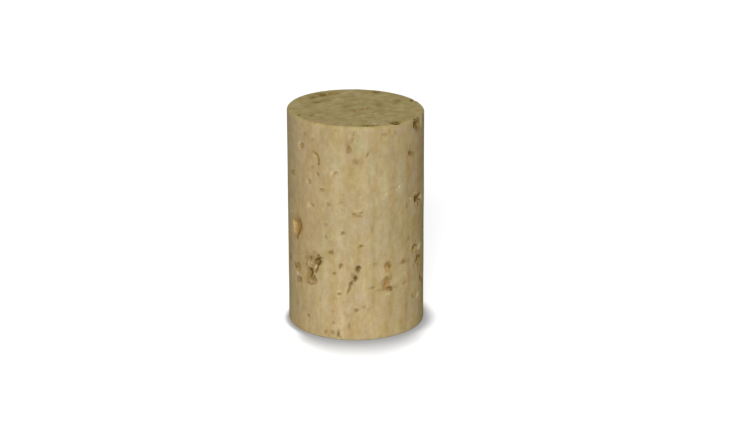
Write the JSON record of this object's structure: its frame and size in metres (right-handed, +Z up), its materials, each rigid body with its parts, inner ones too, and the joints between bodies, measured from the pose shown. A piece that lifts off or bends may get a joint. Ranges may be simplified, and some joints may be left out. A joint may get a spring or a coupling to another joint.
{
  "type": "cork stopper",
  "caption": "Straight cylindrical natural cork stopper with lenticel pits in its wall and eased edges at both ends.",
  "frame": {"origin": "middle of the bottom end face, on the stopper's axis", "axes": "+Z up along the stopper's axis, -Y towards the side with the large pit cluster at its left and the open pits at its right, +X down the slant of the top end"},
  "size_m": [0.024, 0.024, 0.0392],
  "materials": {
    "cork": "matt natural cork, cut and sanded, with darker pits"
  },
  "bodies": {
    "root": {"stopper": "cork"}
  },
  "joints": []
}
